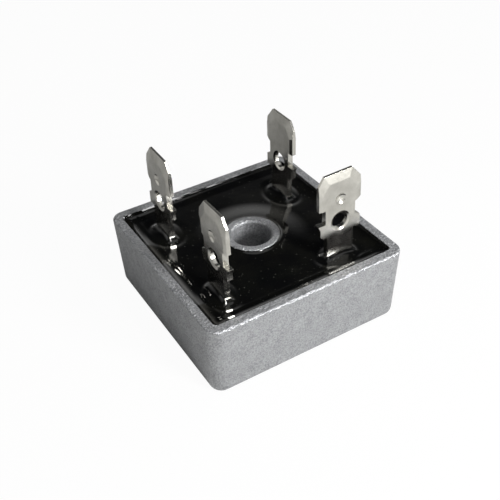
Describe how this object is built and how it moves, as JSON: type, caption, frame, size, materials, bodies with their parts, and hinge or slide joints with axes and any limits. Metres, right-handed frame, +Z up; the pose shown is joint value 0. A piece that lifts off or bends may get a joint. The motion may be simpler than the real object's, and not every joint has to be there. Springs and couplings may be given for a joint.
{
  "type": "bridge rectifier",
  "caption": "Square metal-cased bridge rectifier with a central screw boss, black potting and stamped quick-connect terminals.",
  "frame": {"origin": "centre of the base face, on the axis of the screw hole", "axes": "+Z up along the screw hole, out of the potting; +X and +Y along the sides of the square case; the negative terminal is at the -X +Y corner and the positive one at the +X -Y corner"},
  "size_m": [0.0286, 0.0286, 0.0227],
  "materials": {
    "cast_case": "cast and tumbled, fine grained satin",
    "terminal_plate": "stamped copper alloy, dull nickel-tin plate",
    "epoxy": "poured glossy black epoxy",
    "insulation": "plain insulating sheet",
    "silicon": "lapped silicon die with glassed edges",
    "solder": "reflowed soft solder"
  },
  "bodies": {
    "root": {"case": "cast_case", "insulating_sheet": "insulation", "terminal_positive": "terminal_plate", "terminal_negative": "terminal_plate", "terminal_ac_1": "terminal_plate", "terminal_ac_2": "terminal_plate", "diode_front": "silicon", "diode_right": "silicon", "diode_back": "silicon", "diode_left": "silicon", "solder_under_front": "solder", "solder_under_right": "solder", "solder_under_back": "solder", "solder_under_left": "solder", "solder_over_front": "solder", "solder_over_right": "solder", "solder_over_back": "solder", "solder_over_left": "solder", "potting": "epoxy"}
  },
  "joints": []
}
